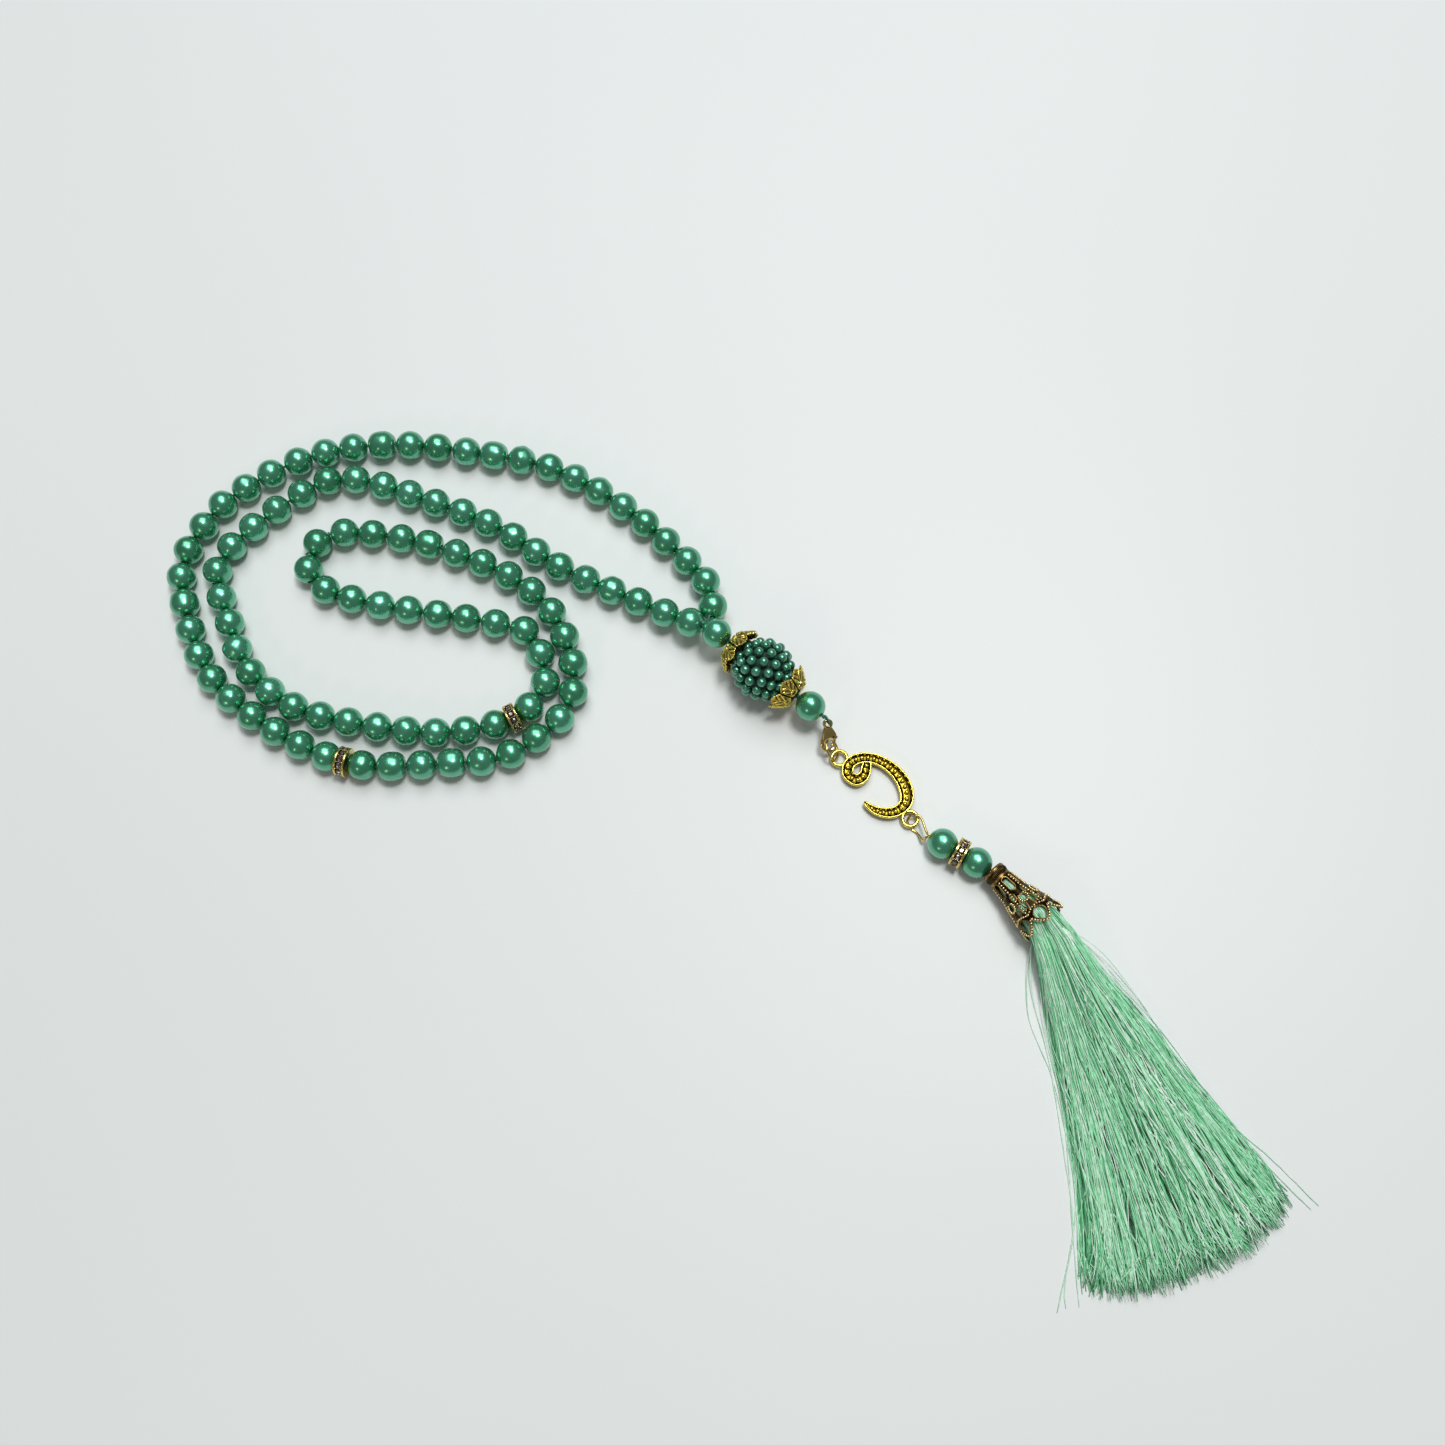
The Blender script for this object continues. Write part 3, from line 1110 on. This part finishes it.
for line in wire_lines:
    line = np.array(line)
    radius = cap_radius(line[:, 1]) - 0.1
    points = np.stack([radius * np.cos(line[:, 0]), radius * np.sin(line[:, 0]), line[:, 1]], 1)
    verts, faces = tube(placed(points, CAP_POS, cap_axes), 0.2, 8, side=CAP_DIR)
    wires.add(verts, faces, 0.45)
show(grains, "filigree_granules", GRAIN_GOLD, "filigree_cap", "antique_bronze")
show(wires, "filigree_wires", BRONZE, "filigree_cap", "antique_bronze")


# ---- tassel --------------------------------------------------------------------------------------

FAN_POS = vec(56.8, 69.3)
FAN_LEFT, FAN_RIGHT, FAN_TO = -83.0, -53.5, 112.0
HEIGHTS = np.array([(23.5, 9.2, 2.4), (27, 9.3, 1.6), (32, 9.0, 0.5), (38, 8.2, 0), (50, 7.1, 0),
                    (65, 5.9, 0), (80, 5.0, 0), (96, 4.1, 0), (107, 3.3, 0), (116, 2.6, 0)])
STRANDS = 1150
THREAD_R = 0.19


def skirt_point(r, across, up):
    """A point of the skirt: across from -1 to 1, and up from 0, the underside, to 1, the top."""
    r, across, up = np.broadcast_arrays(r, across, up)
    pull = lerp(0.84, 1.0, smoothstep(24, 60, r))
    bow = np.interp(r, [20, 30, 45, 65, 85, 100, 112], [0, 2.0, 3.1, 3.1, 2.4, 1.3, 0.2])
    turn = np.radians(lerp(FAN_LEFT, FAN_RIGHT, 0.5 + 0.5 * across * pull)
                      + bow * np.clip(-across, 0, 1.2))
    top = np.interp(r, HEIGHTS[:, 0], HEIGHTS[:, 1])
    low = np.interp(r, HEIGHTS[:, 0], HEIGHTS[:, 2])
    crown = np.sqrt(np.clip(1 - across**2, 0, 1)) ** 0.8
    middle = lerp((top + low) / 2, low, smoothstep(30, 60, r))
    base = lerp(middle - (middle - low) * crown, low, smoothstep(30, 60, r))
    ceiling = lerp(middle + (top - middle) * crown, low + (top - low) * crown,
                   smoothstep(30, 60, r))
    z = lerp(base, ceiling, up)
    lead = r * (1 - 0.035 * abs(across) ** 3 * (r - 20.5) / (FAN_TO - 20.5))
    return np.stack([FAN_POS[0] + lead * np.cos(turn), FAN_POS[1] + lead * np.sin(turn), z], -1)


def bundle_point(s, p, q):
    """A point of the bundle inside the cap: p across and q up, within a unit disc."""
    side = unit(np.cross(vec(0, 0, 1), CAP_DIR))
    upright = np.cross(CAP_DIR, side)
    radius = np.interp(s, [3.9, 5, 8, 12, 16, 19], [1.7, 2.2, 2.75, 3.7, 4.5, 4.9])
    return (CAP_POS + np.multiply.outer(s, CAP_DIR)
            + (radius * p)[..., None] * side + (radius * q)[..., None] * upright)


def strand_lines(count, rings):
    """Centre lines of the tassel's threads, from the bound head to their cut ends."""
    own = np.random.default_rng(51)
    rad = np.sqrt(own.uniform(0.02, 1, count))
    ang = own.uniform(0, 2 * math.pi, count)
    p, q = rad * np.cos(ang), rad * np.sin(ang)
    # spread the disc's chords evenly over the fan, so that the fan is as thick all over
    order = np.argsort(np.argsort(p + own.normal(0, 0.05, count)))
    across = 2 * (order + 0.5) / count - 1
    chord = np.sqrt(np.clip(1 - p**2, 0.01, 1))
    up = np.clip(0.5 + 0.5 * q / chord, 0, 1)
    up = np.clip(up ** 0.75, 0.02, 1)
    locks = np.sort(own.uniform(-1, 1, 60))
    lock = locks[np.argmin(abs(across[:, None] - locks[None] + own.normal(0, 0.02, (count, 1))), 1)]
    lock_up = own.uniform(-0.3, 0.2, len(locks))[np.searchsorted(locks, lock).clip(0, 59)]
    lock_way = own.normal(0, 0.045, len(locks))[np.searchsorted(locks, lock).clip(0, 59)]
    wild = (own.uniform(0, 1, count) < 0.24) * (up > 0.5)
    up = np.where(wild, np.maximum(up, 0.93), up)
    end = FAN_TO - 0.4 + own.normal(0, 1.5, count) - 5 * own.uniform(0, 1, count) ** 5
    end = np.clip(end, 99, FAN_TO + 2.6)
    s_in = np.array([4.0, 6.0, 9.0, 12.5, 16.0])
    r_out = np.array([27, 31, 36, 42, 49, 56, 63, 70, 77, 84, 91, 98, 104])
    lines = [bundle_point(np.full(count, s), p, q) for s in s_in]
    wave = own.normal(0, 1, (count, 6))
    for r in r_out:
        t = (r - 24) / (FAN_TO - 24)
        gather = 0.55 * math.sin(math.pi * min(1, t * 1.1)) + 0.15
        a = lerp(across, lock, np.where(wild, 0.1, gather))
        a = a + lock_way * math.sin(2.6 * t) * (1 - 0.5 * wild)
        wide = 0.2574 * r
        swing = np.where(wild, 2.1, 0.85)
        drift = (wave[:, 0] * np.sin(0.06 * r + 3 * wave[:, 1])
                 + 0.6 * wave[:, 2] * np.sin(0.15 * r + 5 * wave[:, 3])
                 + 0.22 * wave[:, 4] * np.sin(0.42 * r + 7 * wave[:, 5]))
        a = np.clip(a + drift * swing * min(1, t * 3) / wide, -1.03, 1.03)
        lift = up + lock_up * min(1, 1.5 * t) * (1 - wild)
        lift = np.clip(lift + 0.06 * wave[:, 1] * np.sin(0.13 * r + wave[:, 2]), 0, 1.05)
        lines.append(skirt_point(np.full(count, float(r)), a, lift))
    a_end = lerp(across, lock, 0.12) + wave[:, 2] * 1.2 / (0.2574 * end)
    lines.append(skirt_point(end, np.clip(a_end, -1.03, 1.03), np.clip(up + lock_up, 0, 1)))
    controls = np.stack(lines, 1)
    return [resampled(smooth_path(line, 6), rings) for line in controls], across, up


def resampled(path, count):
    run = np.concatenate([[0], np.cumsum(np.linalg.norm(np.diff(path, axis=0), axis=1))])
    at = np.linspace(0, run[-1], count)
    return np.stack([np.interp(at, run, path[:, a]) for a in range(3)], 1)


THREAD_FLATNESS = 0.62


def add_thread(build, line, radius, tint, own):
    """A flat, softly twisted thread, which glints where its flat side faces the light."""
    count = len(line)
    kink = own.normal(0, 0.045, (count, 3))
    kink[0] = 0
    line = line + kink * np.linspace(0.2, 1, count)[:, None]
    line[:, 2] = np.maximum(line[:, 2], radius + 0.03)
    _, s, u = carried_frames(line, (0.01, 0.02, 1))
    twist = own.uniform(0, 6.28) + np.cumsum(own.normal(0.55, 0.2, count)) * own.choice([-1, 1])
    c, n = np.cos(twist)[:, None], np.sin(twist)[:, None]
    wide, thin = c * s + n * u, -n * s + c * u
    swell = radius * np.concatenate([np.ones(count - 2), [0.9, 0.55]])[:, None]
    a = 2 * np.pi * (np.arange(5) + 0.5) / 5
    verts = (line[:, None] + (swell * wide)[:, None] * np.cos(a)[None, :, None]
             + (THREAD_FLATNESS * swell * thin)[:, None] * np.sin(a)[None, :, None])
    k = np.arange(5)
    base = (count - 1) * 5
    faces = [grid_faces(count, 5), k[::-1][None], (base + k)[None]]
    shade = tint + 0.1 * np.cos(twist * 2)[:, None] + 0 * a[None]
    build.add(verts.reshape(-1, 3), faces, np.clip(shade, 0, 1).ravel())


own = np.random.default_rng(77)
threads = Build()
lines, across, up = strand_lines(STRANDS, 40)
for line, a, h in zip(lines, across, up):
    tone = np.clip(0.06 + 0.5 * h + own.normal(0, 0.27), 0, 1)
    add_thread(threads, line, THREAD_R * own.uniform(0.85, 1.15), tone, own)
# Single threads that have strayed from the fan: [r, turn in degrees, height]
STRAYS = [
    [(25, -77, 3.0), (33, -83, 1.0), (45, -84.8, 0.3), (60, -81.2, 0.3), (76, -80.9, 0.3),
     (90, -81.6, 0.3), (103, -84.2, 0.3), (114, -86.4, 0.3)],
    [(25, -78, 3.2), (38, -82.5, 1.0), (55, -81.2, 0.3), (75, -81.8, 0.3), (95, -82.6, 0.3),
     (108, -85.0, 0.3), (113, -85.2, 0.3)],
    [(26, -76, 4.0), (45, -80.5, 1.5), (70, -80.6, 0.4), (96, -82.8, 0.3), (113, -83.6, 0.3)],
    [(26, -58, 4.0), (40, -53.0, 2.0), (60, -52.2, 0.4), (85, -53.2, 0.3), (100, -51.8, 0.3),
     (114, -51.2, 0.3)],
    [(26, -59, 5.0), (36, -51.0, 2.6), (52, -51.4, 0.5), (72, -53.6, 0.4), (98, -53.0, 0.3),
     (113.5, -52.2, 0.3)],
    [(27, -60, 6.5), (34, -54.5, 5.0), (48, -53.3, 1.2), (66, -54.0, 1.2), (88, -55.0, 2.0)],
]
for stray in STRAYS:
    stray = np.array(stray, float)
    turn = np.radians(stray[:, 1])
    points = np.stack([FAN_POS[0] + stray[:, 0] * np.cos(turn),
                       FAN_POS[1] + stray[:, 0] * np.sin(turn), stray[:, 2]], 1)
    start = bundle_point(np.array([10.0, 15.0]), own.uniform(-0.5, 0.5), own.uniform(-0.3, 0.3))
    line = resampled(smooth_path(np.vstack([start, points]), 8), 44)
    add_thread(threads, line, 0.13, 0.8, own)
skirt = show(threads, "tassel_threads", MINT, None, "tassel_thread", "tassel_skirt", "tassel_head")
fan_way = unit(vec(math.cos(math.radians(-68.25)), math.sin(math.radians(-68.25)), 0))
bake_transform(skirt)


# ---- table, light and camera ---------------------------------------------------------------------

TABLE_HALF = 2.5
table = Build()
cells = 24
side = np.linspace(-TABLE_HALF, TABLE_HALF, cells) / MM
xx, yy = np.meshgrid(side, side)
table.add(np.stack([xx, yy, 0 * xx], -1), grid_faces(cells, cells, closed=False))
table_finish = Finish("table_paint", Roughness=0.42, Specular_IOR_Level=0.35)
cool = table_finish.noise(2.2, 2)
table_finish.colour(table_finish.mix(table_finish.spread(cool, 0.3, 0.7, 0, 1),
                                     (0.735, 0.76, 0.765), (0.775, 0.795, 0.8)))
table_finish.bump(table_finish.noise(160, 5), 0.06, 0.5)
floor = table.make("table_top", table_finish.material)


def softbox(name, place, energy, size, colour):
    """A square area light aimed at the middle of the table."""
    data = bpy.data.lights.new(name, "AREA")
    data.energy, data.color = energy, colour
    data.shape = "RECTANGLE"
    data.size = data.size_y = size
    lamp = bpy.data.objects.new(name, data)
    lamp.location = place
    lamp.rotation_euler = (Vector((0, 0, 0)) - Vector(place)).to_track_quat("-Z", "Y").to_euler()
    scene.collection.objects.link(lamp)
    return lamp


world = bpy.data.worlds.new("studio")
scene.world = world
world.use_nodes = True
world.node_tree.nodes["Background"].inputs["Color"].default_value = (0.96, 0.99, 1.0, 1)
world.node_tree.nodes["Background"].inputs["Strength"].default_value = 0.2
softbox("window", (0.0, 1.15, 2.0), 26.5, 1.5, (0.95, 1.0, 1.0))
softbox("ceiling_lamp", (0.4, 0.4, 1.9), 15.5, 0.42, (1.0, 0.99, 0.96))
softbox("low_fill", (-0.5, -0.78, 0.62), 0.7, 0.16, (1.0, 0.84, 0.6))

# The photograph's view: right, up and forward, and a lens of 1450/1445 of the frame's width
RIGHT = vec(0.99903, 0.00586, -0.04365)
UP = vec(0.00586, 0.96460, 0.26365)
CAMERA_POS = vec(0, 0, 375.8) + SHIFT
SENSOR_MM = 36.0
data = bpy.data.cameras.new("camera")
data.sensor_width = SENSOR_MM
data.lens = SENSOR_MM * 1450 / 1445
camera = bpy.data.objects.new("camera", data)
back = unit(np.cross(RIGHT, UP))
axes = np.stack([RIGHT, np.cross(back, RIGHT), back], 1)
camera.matrix_world = Matrix.Translation(Vector(CAMERA_POS * MM)) @ Matrix(axes.tolist()).to_4x4()
scene.collection.objects.link(camera)
scene.camera = camera
scene.view_settings.view_transform = "Standard"
